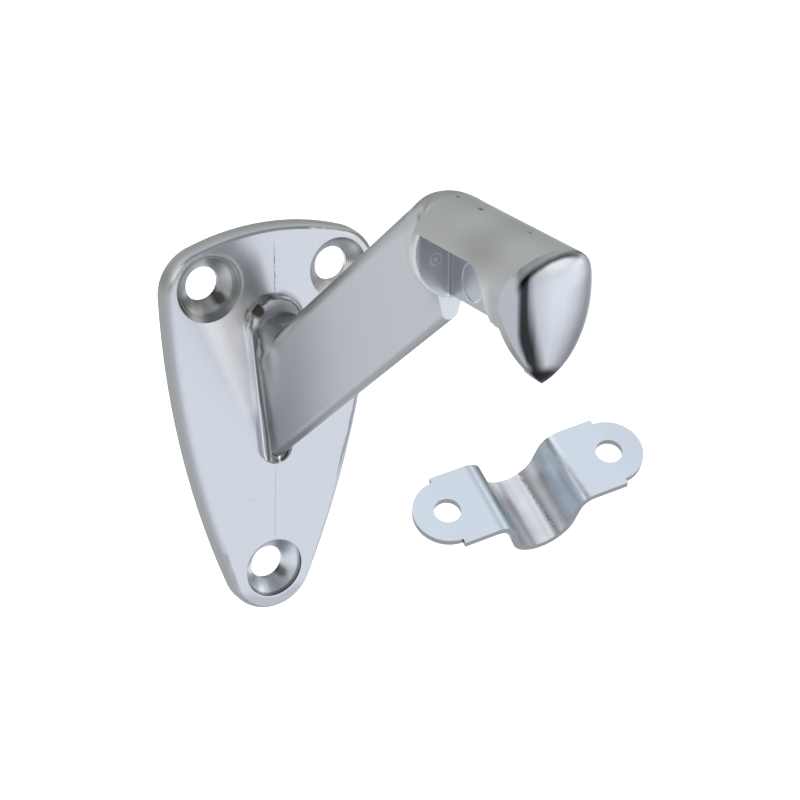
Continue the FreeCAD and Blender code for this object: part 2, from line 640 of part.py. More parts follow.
# below the web everything is open, back to the end face of the arm
web_sketch = new_sketch(casting, "WebUnderside", "YZ_Plane")
o = Outline(web_sketch)
nose_back, web_z, keel = size["nose_start"], size["web_foot_z"], size["keel_out"]
disc_z = size["finger_z"] - size["finger_r"]
corners = [(-keel, base), (-keel, disc_z), (-start, disc_z), (-start, web_z),
           (-nose_back, web_z), (-nose_back, base)]
lines = [o.line(a, b) for a, b in zip(corners, corners[1:] + corners[:1])]
for first, second in zip(lines, lines[1:] + lines[:1]):
    o.meet(first, 2, second, 1)
for index, geo in enumerate(lines):
    o.add("Horizontal" if index % 2 else "Vertical", geo)
o.across("keel", "-{keel_out}", lines[0], 1, -keel)
o.height("disc_z", "{finger_z} - {finger_r}", lines[0], 2, disc_z)
o.across("start", "-{pocket_start}", lines[2], 1, -start)
o.height("web_z", "{web_foot_z}", lines[2], 2, web_z)
o.across("nose_back", "-{nose_start}", lines[4], 1, -nose_back)
o.height("base", "{nose_tip_z} - 3", lines[4], 2, base)
web_cut = pocket(casting, "WebTrim", web_sketch, "4 * {arm_half_width}", midplane=True)
doc.recompute()


def on_disc_edge(edge):
    """The curved edges where the pocket's rear wall meets the round of the finger."""
    box = edge.BoundBox
    flat = abs(box.YMin + start) < 0.01 and abs(box.YMax + start) < 0.01
    return flat and not edge.Curve.isDerivedFrom("Part::GeomLine")


disc_round = fillet(casting, "DiscEdge", web_cut, "{disc_edge_r}", on_disc_edge)

pin_sketch = new_sketch(casting, "PinMark", "YZ_Plane", "{web_half} - {pin_mark_depth}")
o = Outline(pin_sketch)
pin = o.circle((-size["pin_mark_out"], size["pin_mark_z"]), size["pin_mark_r"])
o.radius("pin_r", "{pin_mark_r}", pin, size["pin_mark_r"])
o.across("pin_out", "-{pin_mark_out}", pin, 3, -size["pin_mark_out"])
o.height("pin_z", "{pin_mark_z}", pin, 3, size["pin_mark_z"])
pin_cut = pocket(casting, "PinMarkRight", pin_sketch, "2 * {pin_mark_depth}", reverse=True)
doc.recompute()
pin_pair = casting.newObject("PartDesign::Mirrored", "PinMarkPair")
pin_pair.Originals = [pin_cut]
pin_pair.MirrorPlane = (plane(casting, "YZ_Plane"), [""])
casting.Tip = pin_pair
doc.recompute()


# ---- casting: countersunk screw holes --------------------------------------------------------------------
def screw_hole(name, x_value, x_text, z_value, z_text):
    """Bore, cone and short straight rim, turned about the hole's own axis."""
    sketch = new_sketch(casting, name + "Profile", "YZ_Plane", x_text)
    o = Outline(sketch)
    bore_r, head_r = size["screw_hole_r"], size["screw_head_r"]
    land, cone, clear = size["screw_land"], size["screw_cone"], size["plate_thick"] + 6
    points = [(1, 0), (1, bore_r), (-land, bore_r), (-land - cone, head_r), (-clear, head_r), (-clear, 0)]
    points = [(y, z_value + z) for y, z in points]
    axis = o.line((1, z_value), (-clear, z_value), True)
    lines = [o.line(a, b) for a, b in zip(points, points[1:] + points[:1])]
    for first, second in zip(lines, lines[1:] + lines[:1]):
        o.meet(first, 2, second, 1)
    o.add("Vertical", lines[0])
    o.add("Horizontal", lines[1])
    o.add("Horizontal", lines[3])
    o.add("Vertical", lines[4])
    o.add("Horizontal", axis)
    o.meet(axis, 1, lines[0], 1)
    o.meet(axis, 2, lines[5], 1)
    o.across("behind", "1", lines[0], 1, 1)
    o.height("axis_z", z_text, lines[0], 1, z_value)
    o.drive("bore_r", "{screw_hole_r}", "DistanceY", lines[0], 1, lines[0], 2, bore_r)
    o.across("land", "-{screw_land}", lines[1], 2, -land)
    o.across("cone", "-({screw_land} + {screw_cone})", lines[2], 2, -land - cone)
    o.drive("head_r", "{screw_head_r}", "DistanceY", lines[4], 2, lines[4], 1, head_r)
    o.across("clear", "-({plate_thick} + 6)", lines[4], 1, -clear)
    feature = groove(casting, name, sketch, "Axis0")
    doc.recompute()
    return feature


hole_left = screw_hole("UpperHoleLeft", -size["upper_hole_x"], "-{upper_hole_x}",
                       size["upper_hole_z"], "{upper_hole_z}")
hole_right = screw_hole("UpperHoleRight", size["upper_hole_x"], "{upper_hole_x}",
                        size["upper_hole_z"], "{upper_hole_z}")
hole_low = screw_hole("LowerHole", 0.0, "0", -size["lower_hole_drop"], "-{lower_hole_drop}")

# the upper left countersink opens into a wider, steeper rim
rim_sketch = new_sketch(casting, "WideRimProfile", "YZ_Plane", "-{upper_hole_x}")
o = Outline(rim_sketch)
rim_foot, rim_rise, rim_r = (size[k] for k in ("wide_rim_foot", "wide_rim_rise", "wide_rim_r"))
head_r, hole_z, clear = size["screw_head_r"], size["upper_hole_z"], size["plate_thick"] + 6
points = [(-rim_foot, 0), (-rim_foot, head_r), (-rim_foot - rim_rise, rim_r), (-clear, rim_r), (-clear, 0)]
points = [(y, hole_z + z) for y, z in points]
lines = [o.line(a, b) for a, b in zip(points, points[1:] + points[:1])]
for first, second in zip(lines, lines[1:] + lines[:1]):
    o.meet(first, 2, second, 1)
o.add("Vertical", lines[0])
o.add("Horizontal", lines[2])
o.add("Vertical", lines[3])
o.add("Horizontal", lines[4])
o.across("foot", "-{wide_rim_foot}", lines[0], 1, -rim_foot)
o.height("axis_z", "{upper_hole_z}", lines[0], 1, hole_z)
o.drive("head_r", "{screw_head_r}", "DistanceY", lines[0], 1, lines[0], 2, head_r)
o.across("rise", "-({wide_rim_foot} + {wide_rim_rise})", lines[1], 2, -rim_foot - rim_rise)
o.drive("rim_r", "{wide_rim_r}", "DistanceY", lines[3], 2, lines[3], 1, rim_r)
o.across("clear", "-({plate_thick} + 6)", lines[3], 1, -clear)
wide_rim = groove(casting, "WideRim", rim_sketch, "Edge5")
doc.recompute()


# ---- strap -----------------------------------------------------------------------------------------------
strap = new_body("rail_strap")
strip_sketch = new_sketch(strap, "StripProfile", "XZ_Plane")
o = Outline(strip_sketch)
half_len, sheet_t = size["strap_length"] / 2, size["strap_thick"]
depth, cup_r, bend_r = size["trough_depth"], size["trough_r"], size["trough_bend_r"]
lean_deg = size["trough_wall_lean"]
lean = math.radians(lean_deg)
cup_z = cup_r - depth
# the wall is tangent to the cup and to the bend; its bend's centre lies bend_r below the ear
wall_x = (cup_r + bend_r + (cup_z + bend_r) * math.sin(lean)) / math.cos(lean)


def strip_side(cup_radius, bend_radius, level):
    """One face of the strip, left ear to right ear: ear, bend, wall, cup, wall, bend, ear."""
    turn = lean_deg
    ear_l = o.line((-half_len, level), (-wall_x, level))
    bend_l = o.arc((-wall_x, -bend_r), bend_radius, turn, 90)
    wall_l = o.line((-wall_x + bend_radius * math.cos(lean), -bend_r + bend_radius * math.sin(lean)),
                    (-cup_radius * math.cos(lean), cup_z - cup_radius * math.sin(lean)))
    cup = o.arc((0, cup_z), cup_radius, 180 + turn, 360 - turn)
    wall_r = o.line((cup_radius * math.cos(lean), cup_z - cup_radius * math.sin(lean)),
                    (wall_x - bend_radius * math.cos(lean), -bend_r + bend_radius * math.sin(lean)))
    bend_r_arc = o.arc((wall_x, -bend_r), bend_radius, 90, 180 - turn)
    ear_r = o.line((wall_x, level), (half_len, level))
    o.join(ear_l, 2, bend_l, 2)
    o.join(bend_l, 1, wall_l, 1)
    o.join(wall_l, 2, cup, 1)
    o.join(cup, 2, wall_r, 1)
    o.join(wall_r, 2, bend_r_arc, 2)
    o.join(bend_r_arc, 1, ear_r, 1)
    return ear_l, bend_l, wall_l, cup, wall_r, bend_r_arc, ear_r


upper = strip_side(cup_r, bend_r, 0.0)
lower = strip_side(cup_r + sheet_t, bend_r - sheet_t, -sheet_t)
end_l = o.line((-half_len, 0), (-half_len, -sheet_t))
end_r = o.line((half_len, 0), (half_len, -sheet_t))
o.meet(end_l, 1, upper[0], 1)
o.meet(end_l, 2, lower[0], 1)
o.meet(end_r, 1, upper[6], 2)
o.meet(end_r, 2, lower[6], 2)
o.add("Vertical", end_l)
o.add("Vertical", end_r)
o.add("PointOnObject", upper[0], 1, -1)
o.add("PointOnObject", upper[6], 2, -1)
o.add("Horizontal", upper[0])
o.add("Horizontal", lower[0])
o.add("Horizontal", upper[6])
o.add("Horizontal", lower[6])
for index in (1, 3, 5):
    o.meet(upper[index], 3, lower[index], 3)
for index in (2, 4):
    o.add("Parallel", upper[index], lower[index])
o.on_mid(upper[3])
o.across("left_end", "-{strap_length} / 2", end_l, 1, -half_len)
o.across("right_end", "{strap_length} / 2", end_r, 1, half_len)
o.drive("thick", "{strap_thick}", "DistanceY", end_l, 2, end_l, 1, sheet_t)
o.radius("cup_r", "{trough_r}", upper[3], cup_r)
o.height("cup_z", "{trough_r} - {trough_depth}", upper[3], 3, cup_z)
o.radius("bend_left", "{trough_bend_r}", upper[1], bend_r)
o.radius("bend_right", "{trough_bend_r}", upper[5], bend_r)
WALL_X = ("({trough_r} + {trough_bend_r} + ({trough_r} - {trough_depth} + {trough_bend_r})"
          " * sin({trough_wall_lean})) / cos({trough_wall_lean})")
o.across("wall_left", "-(" + WALL_X + ")", upper[1], 3, -wall_x)
o.across("wall_right", WALL_X, upper[5], 3, wall_x)
strip = pad(strap, "Strip", strip_sketch, "{strap_width}", midplane=True)
doc.recompute()

# the ears end in a narrower rounded tongue, with a small square shoulder beside each hole
half_wide, ear_r = size["strap_width"] / 2, size["strap_ear_r"]
hole_x = size["strap_hole_spacing"] / 2
ear_x = half_len - ear_r
step_x = hole_x
step_y = math.sqrt(ear_r ** 2 - (step_x - ear_x) ** 2)
step_turn = math.degrees(math.atan2(step_y, step_x - ear_x))


def ear_sketch(name, side):
    """Everything outside one ear's outline, as a ring the pocket removes."""
    sketch = new_sketch(strap, name, "XY_Plane")
    o = Outline(sketch)
    out_x, out_y = half_len + 2, half_wide + 2
    turn = (-step_turn, step_turn) if side > 0 else (180 - step_turn, 180 + step_turn)
    round_end = o.arc((side * ear_x, 0), ear_r, *turn)
    low, high = (1, 2) if side > 0 else (2, 1)
    corners = [(step_x, -step_y), (step_x, -out_y), (out_x, -out_y),
               (out_x, out_y), (step_x, out_y), (step_x, step_y)]
    corners = [(side * x, y) for x, y in corners]
    lines = [o.line(a, b) for a, b in zip(corners, corners[1:])]
    o.meet(round_end, low, lines[0], 1)
    for first, second in zip(lines, lines[1:]):
        o.meet(first, 2, second, 1)
    o.meet(lines[4], 2, round_end, high)
    for index in (1, 3):
        o.add("Horizontal", lines[index])
    for index in (0, 2, 4):
        o.add("Vertical", lines[index])
    sign = "" if side > 0 else "-"
    o.add("PointOnObject", round_end, 3, -1)
    o.radius("ear_r", "{strap_ear_r}", round_end, ear_r)
    o.across("ear_x", sign + "({strap_length} / 2 - {strap_ear_r})", round_end, 3, side * ear_x)
    o.across("step_low", sign + "{strap_hole_spacing} / 2", lines[0], 1, side * step_x)
    o.across("step_high", sign + "{strap_hole_spacing} / 2", lines[4], 1, side * step_x)
    o.across("out_x", sign + "({strap_length} / 2 + 2)", lines[2], 1, side * out_x)
    o.height("out_low", "-({strap_width} / 2 + 2)", lines[1], 1, -out_y)
    o.height("out_high", "{strap_width} / 2 + 2", lines[3], 1, out_y)
    return sketch


for name, side in (("EarLeft", -1), ("EarRight", 1)):
    pocket(strap, name, ear_sketch(name + "Outline", side), "4 * {strap_thick}", midplane=True)
    doc.recompute()

holes_sketch = new_sketch(strap, "StrapHoles", "XY_Plane")
o = Outline(holes_sketch)
for name, side in (("left", -1), ("right", 1)):
    hole = o.circle((side * hole_x, 0), size["strap_hole_r"])
    o.add("PointOnObject", hole, 3, -1)
    o.radius("hole_" + name, "{strap_hole_r}", hole, size["strap_hole_r"])
    o.across("hole_x_" + name, ("" if side > 0 else "-") + "{strap_hole_spacing} / 2",
             hole, 3, side * hole_x)
pocket(strap, "RailScrewHoles", holes_sketch, "4 * {strap_thick}", midplane=True)
doc.recompute()

# the strap lies beside the bracket, taken off
turned = FreeCAD.Rotation(size["strap_yaw"], size["strap_pitch"], size["strap_roll"])
strap.Placement = FreeCAD.Placement(
    V(size["strap_x"], -size["strap_out"], -size["strap_drop"]), turned)
for path, text in (("Placement.Base.x", "{strap_x}"),
                   ("Placement.Base.y", "-{strap_out}"),
                   ("Placement.Base.z", "-{strap_drop}")):
    strap.setExpression(path, cells(text))
doc.recompute()

for obj in doc.Objects:
    if obj.TypeId == "Sketcher::SketchObject":
        assert obj.FullyConstrained, obj.Name + " is loose"
    state = [flag for flag in obj.State if flag in ("Invalid", "Error")]
    assert not state, obj.Name + ": " + ", ".join(state)
os.makedirs("parts", exist_ok=True)
for body in (casting, strap):
    shape = body.Shape
    assert not shape.isNull() and shape.isValid(), body.Label
    assert len(shape.Solids) == 1, body.Label + " is not one solid"
    box = shape.BoundBox
    print(body.Label, "volume %.0f mm3" % shape.Volume, "faces", len(shape.Faces),
          "X %.2f..%.2f Y %.2f..%.2f Z %.2f..%.2f"
          % (box.XMin, box.XMax, box.YMin, box.YMax, box.ZMin, box.ZMax))
    shape.exportStep("parts/" + body.Label + ".step")
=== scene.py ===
# %% [markdown]
# # A handrail bracket
# This bracket is a zinc die casting with a satin chrome finish. It has a wall plate, a thin raking
# arm and a level finger that carries the rail. A pressed steel strap, taken off here, clamps the
# rail to the finger. The shapes come from the CAD model, so this file is about finishes and light.

# %% Load the model
import math

import bpy
from mathutils import Matrix, Vector

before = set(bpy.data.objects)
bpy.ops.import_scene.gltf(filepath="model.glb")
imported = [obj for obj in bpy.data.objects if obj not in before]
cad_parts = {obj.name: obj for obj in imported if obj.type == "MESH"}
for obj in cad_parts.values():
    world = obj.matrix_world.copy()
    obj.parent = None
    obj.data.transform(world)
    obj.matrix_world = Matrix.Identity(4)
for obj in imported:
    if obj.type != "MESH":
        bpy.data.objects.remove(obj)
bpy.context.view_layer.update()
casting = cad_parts["bracket_casting"]
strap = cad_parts["rail_strap"]
bpy.context.scene.view_settings.view_transform = "Standard"

# %% [markdown]
# The photograph was taken from the upper left with a long lens. A camera can be placed by eye or
# solved. This one was worked out from the plate's holes and edges, because a long lens forgives
# little, so its place and its turn are given as numbers.

# %% Camera
EYE = Vector((-0.211629, -0.415766, 0.183221))
RIGHT = Vector((0.87058, -0.49175753, 0.0162787))
UP = Vector((0.16383036, 0.32091568, 0.9328305))
BACK = Vector((-0.46395051, -0.80943663, 0.35994758))
IMAGE_WIDTH = 800
FOCAL_PIXELS = 2921.39
SENSOR = 36.0

lens = bpy.data.cameras.new("camera")
lens.sensor_width = SENSOR
lens.lens = FOCAL_PIXELS / IMAGE_WIDTH * SENSOR
lens.clip_start = 0.01
camera = bpy.data.objects.new("camera", lens)
axes = Matrix((RIGHT, UP, BACK)).transposed().to_4x4()
camera.matrix_world = Matrix.Translation(EYE) @ axes
bpy.context.collection.objects.link(camera)
bpy.context.scene.camera = camera
print("lens", round(lens.lens, 1), "mm")

# %% [markdown]
# Light and finishes are written as sums on node sockets. Nodes can be joined by hand, one link at
# a time, but a long finish is easier to read as arithmetic. One small class wraps a socket, so that
# a line of arithmetic adds its own Math nodes.


# %% Socket arithmetic
class Wire:
    """A node socket that takes part in arithmetic."""

    def __init__(self, tree, socket):
        self.tree, self.socket = tree, socket

    def _math(self, operation, *values):
        return node(self.tree, "ShaderNodeMath", {"operation": operation}, *values)

    def __add__(self, other):
        return self._math("ADD", self, other)

    def __radd__(self, other):
        return self._math("ADD", other, self)

    def __sub__(self, other):
        return self._math("SUBTRACT", self, other)

    def __rsub__(self, other):
        return self._math("SUBTRACT", other, self)

    def __mul__(self, other):
        return self._math("MULTIPLY", self, other)

    def __rmul__(self, other):
        return self._math("MULTIPLY", other, self)

    def __truediv__(self, other):
        return self._math("DIVIDE", self, other)

    def __pow__(self, other):
        return self._math("POWER", self, other)

    def __neg__(self):
        return self._math("MULTIPLY", self, -1.0)

    def low(self, other):
        return self._math("MINIMUM", self, other)

    def high(self, other):
        return self._math("MAXIMUM", self, other)

    def size(self):
        return self._math("ABSOLUTE", self)

    def root(self):
        return self._math("SQRT", self)

    def sine(self):
        return self._math("SINE", self)


def plug(tree, socket, value):
    """Sets a socket to a number, a colour, a vector or a wire."""
    if isinstance(value, Wire):
        tree.links.new(value.socket, socket)
    elif isinstance(value, (tuple, list)) and len(value) == 3 and socket.type == "RGBA":
        socket.default_value = (*value, 1)
    else:
        socket.default_value = value


def node(tree, kind, settings, *values, output=0, **named):
    """Adds a node: settings first, then sockets by order (None skips one) or by name."""
    made = tree.nodes.new(kind)
    for key, value in settings.items():
        setattr(made, key, value)
    for socket, value in zip(made.inputs, values):
        if value is not None:
            plug(tree, socket, value)
    for key, value in named.items():
        plug(tree, made.inputs[key.replace("_", " ")], value)
    return Wire(tree, made.outputs[output])


# %% [markdown]
# A finish is mostly masks: numbers that are 1 on one place of the part and 0 elsewhere. Painted
# textures would do too, but masks worked out from the place stay sharp at any distance. All of
# them are built from soft steps, spans and bands.


# %% Masks
def split(vector):
    """The three parts of a vector wire."""
    made = node(vector.tree, "ShaderNodeSeparateXYZ", {}, vector).socket.node
    return [Wire(vector.tree, socket) for socket in made.outputs]


def step(value, low, high):
    """0 at low, 1 at high and a smooth rise between; low may be the larger one."""
    if low > high:
        return 1.0 - step(value, high, low)
    return node(value.tree, "ShaderNodeMapRange", {"interpolation_type": "SMOOTHSTEP"},
                value, low, high, 0.0, 1.0)


def span(value, start, full, fade, end):
    """Rises from start to full, stays 1 and falls from fade to end."""
    return step(value, start, full) * step(value, end, fade)


def band(value, centre, half):
    """1 on a line and 0 from half a width away."""
    return step((value - centre).size(), half, 0.0)


def far(*parts):
    """Distance from the origin of those parts."""
    total = parts[0] * parts[0]
    for part in parts[1:]:
        total = total + part * part
    return total.root()


def noise(vector, scale, detail=2.0):
    """Soft noise from 0 to 1; a larger scale gives a finer grain."""
    return node(vector.tree, "ShaderNodeTexNoise", {}, Vector=vector, Scale=scale, Detail=detail,
                Roughness=0.5)


# %% [markdown]
# A Math node would turn a colour grey, so colours go through Mix and Vector Math nodes. Numbers,
# such as a roughness, are blended by plain arithmetic. Either kind is laid on in layers, as paint
# is: a ground first, then each smaller zone over those before.


# %% Mixes
def blend(mask, first, second):
    """One number over another where the mask is 1."""
    return first + mask * (second - first)


BEFORE_COLOURS = (None,) * 5  # a Mix node's sockets between its factor and its first colour


def mix(mask, first, second):
    """One colour over another where the mask is 1."""
    return node(mask.tree, "ShaderNodeMix", {"data_type": "RGBA"}, mask, *BEFORE_COLOURS, first,
                second, output=2)


def lay(way, base, *layers):
    """Lays layers of (mask, value) over a base by blend or mix, each over those before."""
    for mask, value in layers:
        base = way(mask, base, value)
    return base


def grey(value, tint=(1.0, 1.0, 1.0)):
    """A wire or number as a colour, with a slight tint."""
    if not isinstance(value, Wire):
        return tuple(value * part for part in tint)
    return node(value.tree, "ShaderNodeVectorMath", {"operation": "SCALE"}, tint, Scale=value)


# %% [markdown]
# Each material starts from Blender's Principled shader. A finish may read the place on the part
# and the direction that its surface faces, and nothing of the camera, so no mark slides when the
# part is seen from another side.


# %% Finish
class Finish:
    """A material under way, with the place and the direction of its surface."""

    def __init__(self, name):
        self.material = bpy.data.materials.new(name)
        self.material.use_nodes = True
        self.tree = self.material.node_tree
        self.shader = self.tree.nodes["Principled BSDF"]
        self.place = node(self.tree, "ShaderNodeTexCoord", {}, output="Object")
        self.normal = node(self.tree, "ShaderNodeNewGeometry", {}, output="Normal")

    def set(self, **sockets):
        for key, value in sockets.items():
            plug(self.tree, self.shader.inputs[key.replace("_", " ")], value)
        return self.material

    def tell(self, words):
        print(f"{self.material.name}: {words}, {len(self.tree.nodes)} nodes so far")


# %% [markdown]
# Chrome shows what stands round it, so the studio matters as much as the metal. A pale table fills
# the lower half of every reflection. A real table would need a lamp below it to look so bright, so
# this one gives off a little light itself.

# %% Floor
FLOOR_Z = -0.11
bpy.ops.mesh.primitive_plane_add(size=8, location=(0, 0, FLOOR_Z))
floor = bpy.context.object
floor.name = "floor"
paper = Finish("pale_floor")
floor.data.materials.append(paper.set(
    Base_Color=(0.9, 0.9, 0.9), Roughness=0.9, Specular_IOR_Level=0.0,
    Emission_Color=(0.90, 0.96, 1.08), Emission_Strength=0.45))
paper.tell("floor")

# %% [markdown]
# A photographer would hang white cloths round the bracket. Here the world is the cloths: it is
# brighter in front and to the left and dimmer behind, which gives the arm its quiet grey. A low
# band of light in front keeps the plate pale.

# %% Room
world = bpy.data.worlds.new("studio")
bpy.context.scene.world = world
world.use_nodes = True
room = world.node_tree
side, depth, rise = split(node(room, "ShaderNodeTexCoord", {}, output="Generated"))
front_glow = 0.45 * step(-depth, 0.2, 0.8) * step(rise, 0.38, 0.12)
level = 0.78 - depth * 0.18 - side * 0.10 + front_glow
wall = node(room, "ShaderNodeVectorMath", {"operation": "SCALE"}, (0.97, 1.0, 0.985), Scale=level)
sky = mix(step(rise, 0.45, 0.95), wall, (0.93, 0.99, 1.08))
plug(room, room.nodes["Background"].inputs["Color"], sky)
print("room:", len(room.nodes), "nodes")

# %% [markdown]
# Two square softboxes give the edges their light. Small lamps would leave hard glints that satin
# chrome doesn't show, so both are two metres wide.

# %% Lamps
SOFTBOX_WIDTH = 2.0


def softbox(name, place, power):
    """A soft square lamp that looks at the bracket."""
    data = bpy.data.lights.new(name, "AREA")
    data.shape = "RECTANGLE"
    data.size = data.size_y = SOFTBOX_WIDTH
    data.energy = power
    made = bpy.data.objects.new(name, data)
    made.location = place
    made.rotation_euler = (-Vector(place)).to_track_quat("-Z", "Y").to_euler()
    bpy.context.collection.objects.link(made)
    print(name, power, "W")


softbox("softbox_right", (2.4, -1.0, 1.6), 26)
softbox("softbox_left", (-2.4, -0.6, 1.8), 22)

# %% [markdown]
# The casting has one chrome finish that was worked to different degrees. The plate's face and the
# nose are polished, the arm is satin, and the finger and the plate's edge are left nearly as cast.
# The parts of a single casting could get a material each. Zones in one material run softly into
# each other, as polishing does. Every number below is in millimetres, out from the wall, across or
# up.

# %% Chrome zones
MM = 1000.0
PLATE_FACE = 4.2
ARM_START, ARM_END = 6.4, 60.8
ELBOW_LIP = 61.6
NOSE_START = 84.2

chrome = Finish("satin_chrome")
x, y, z = (part * MM for part in split(chrome.place))
nx, ny, nz = split(chrome.normal)
out = -y
front = -ny
face = step(front, 0.0, 0.3)

plate = step(out, 5.0, PLATE_FACE)
arm = span(out, 5.6, ARM_START, ARM_END, ELBOW_LIP)
cap = step(out, NOSE_START, 84.7) * step(front, 0.15, 0.3)
finger = step(out, ARM_END, ELBOW_LIP) * (1.0 - cap)
inside = span(out, 62.9, 63.2, 85.6, 86.2) * step(x.size(), 6.9, 6.6) * step(z, 52.4, 52.0)
web = inside * step(x.size(), 1.6, 1.5)
keel = span(out, 60.9, 61.2, 61.5, ELBOW_LIP) * step(front, 0.8, 0.9) * step(z, 43.4, 42.6)

wobble = noise(chrome.place, 700.0, 3.0) - 0.5
COOL, WARM = (0.975, 1.0, 1.04), (1.01, 1.01, 0.985)
chrome.tell("zones")

# %% [markdown]
# The three countersinks were turned after casting, so they are bare, ringed metal. A ring is a
# sine of the distance from the hole's axis, which needs no mesh. A second measure says which way a
# place lies round that axis, because a cone shows one side of the room on each of its sides.


# %% Countersinks
class Hole:
    """A countersink, seen as distance from its axis and direction round it."""

    def __init__(self, across, up, rim, width=0.12):
        self.dx, self.dz = x - across, z - up
        self.far = far(self.dx, self.dz)
        self.cone = plate * step(self.far, rim + width, rim)

    def toward(self, angle, low, high):
        """Rises towards an angle, in degrees from the right; 1 is straight towards it."""
        radians = math.radians(angle)
        towards = (self.dx * math.cos(radians) + self.dz * math.sin(radians)) / self.far
        return step(towards, low, high)

    def off(self, right, above):
        """Distance from a spot to the right of the axis and above it."""
        return far(self.dx - right, self.dz - above)


RIM, WIDE_RIM = 5.3, 5.88
left_hole = Hole(-12.1, 26.1, WIDE_RIM)
right_hole = Hole(12.1, 26.1, RIM)
low_hole = Hole(0.0, -26.95, RIM)
around = step(left_hole.far, 6.2, 6.0).high(step(right_hole.far, 5.6, 5.4))
around = around.high(step(low_hole.far, 5.6, 5.4))
cones = left_hole.cone.high(right_hole.cone).high(low_hole.cone)
nearest = left_hole.far.low(right_hole.far).low(low_hole.far)
rings = (nearest * 26.0).sine() * noise(chrome.place, 900.0, 3.0)
chrome.tell("countersinks")

# %% [markdown]
# Each cone gets its own painted light and shade: a lit side, a dark rim on the side away from the
# light, and on two of them a dark spot, a painted reflection of the arm. The light alone could do
# it, but only in the photographer's own room.

# %% Cone shades
left_spot = step(left_hole.off(2.7, -2.6) + wobble * 0.8, 1.6, 0.5)
left_rim = step(left_hole.far, 4.5, 4.9) * left_hole.toward(335, -0.2, 0.5)
left_shade = 0.25 + 0.30 * left_hole.toward(215, 0.8, 1.0) * step(left_hole.far, 5.1, 4.7)
left_shade = left_shade + 0.26 * left_hole.toward(65, 0.3, 1.0)
left_shade = left_shade * (1.0 - 0.5 * left_rim) * (1.0 - 0.85 * left_spot)
left_shade = left_shade * (1.0 - 0.15 * left_hole.toward(262, 0.85, 1.0))

right_rim = step(right_hole.far, 4.5, 5.1) * right_hole.toward(75, 0.0, 0.8)
right_shade = (0.54 - 0.30 * right_hole.toward(140, 0.2, 0.9)) * (1.0 - 0.4 * right_rim)

low_spot = step(low_hole.off(2.5, -2.1), 1.4, 0.4)
low_rim = step(low_hole.far, 4.8, 5.1) * low_hole.toward(292, -0.3, 0.4)
low_shade = 0.27 + 0.22 * low_hole.toward(40, 0.0, 1.0) + 0.60 * low_hole.toward(208, 0.65, 1.0)
low_shade = low_shade * (1.0 - 0.65 * low_rim) * (1.0 - 0.72 * low_spot)

cone_tone = left_hole.cone * left_shade + right_hole.cone * right_shade
cone_tone = (cone_tone + low_hole.cone * low_shade) * (1.0 + 0.35 * (rings - 0.15))
# a painted highlight on the plate round the right side of the upper left hole
lip_light = band(left_hole.far, 6.15, 0.45) * plate * left_hole.toward(10, 0.3, 0.9)
chrome.tell("cone shades")

# %% [markdown]
# The plate's face was polished and its edge was not. The rounded corner between them gets a dark
# painted reflection of the far ends of the room, heaviest on top, and the edge is painted lighter
# on top. The face is also darker along its foot. The zones leave out the holes and the raised bead
# round the arm's root, which has its own finish.

# %% Plate's edge
bead_block = step(x.size(), 7.4, 6.4) * span(z, -9.5, -8.0, 24.5, 26.0)
beyond_bead = 1.0 - bead_block
side_wall = plate * (1.0 - around) * beyond_bead.high(1.0 - face) * step(out, 3.0, 2.8)
roll = plate * (1.0 - around) * beyond_bead * (1.0 - side_wall) * step(front, 0.985, 0.55)
foot_edge = plate * face * step(z, -30.0, -32.2) * step(low_hole.far, 5.5, 5.9)
chrome.tell("plate's edge")

# %% [markdown]
# The bead is a low wall that follows the arm's root, with a round boss at its top and a groove
# inside. Its shape is in the CAD model. What the mirror-like metal shows on so small a form
# depends on things close by, so its outer wall, its rounding and its inner lip get a painted tone
# each, for the light and shade that they mirror. The plate just left of the boss gets painted
# shade, and the boss's top a dark painted reflection.

# %% Bead round the root
BOSS_UP = 18.2
boss = far(x, z - BOSS_UP)
inward = 3.39 + 0.113 * z - x.size()  # from the bead's outer wall, which leans
bead_side = step(x.size(), 6.6, 6.2) * span(z, -9.0, -7.5, 19.5, 21.5)
bead_wall = bead_side * step(inward, 0.45, 0.15) * span(out, 3.98, 4.1, 5.8, 6.0)
bead_round = bead_side * step(x, 0.0, -0.4) * step(inward, 1.1, 0.95)
bead_round = bead_round * span(out, 5.1, 5.35, 5.75, 5.9) * step(z, 18.5, 17.0)
beside_bead = plate * face * span(inward, -0.3, 0.1, 0.8, 1.0) * step(z, 16.5, 18.5)
beside_bead = beside_bead * step(x, 0.0, -2.0) * step(boss, 6.4, 5.9)
inner_lip = inward - 0.25 * step(z, 7.0, 0.0)
groove = step(inner_lip, 1.22, 1.12).high(step(front, 0.5, 0.8) * step(inner_lip, 1.6, 1.4))
bead_lip = bead_side * step(inner_lip, 0.2, 0.5) * groove * span(out, 4.0, 4.3, 5.72, 5.9)
bead_lip = bead_lip * step(z, 19.4, 18.0) * step(x, 0.6, -0.2)
knuckle = step(boss, 5.0, 4.5) * step(z, 15.5, 18.5) * span(out, 3.9, 4.6, 6.6, 7.6)
chrome.tell("bead")
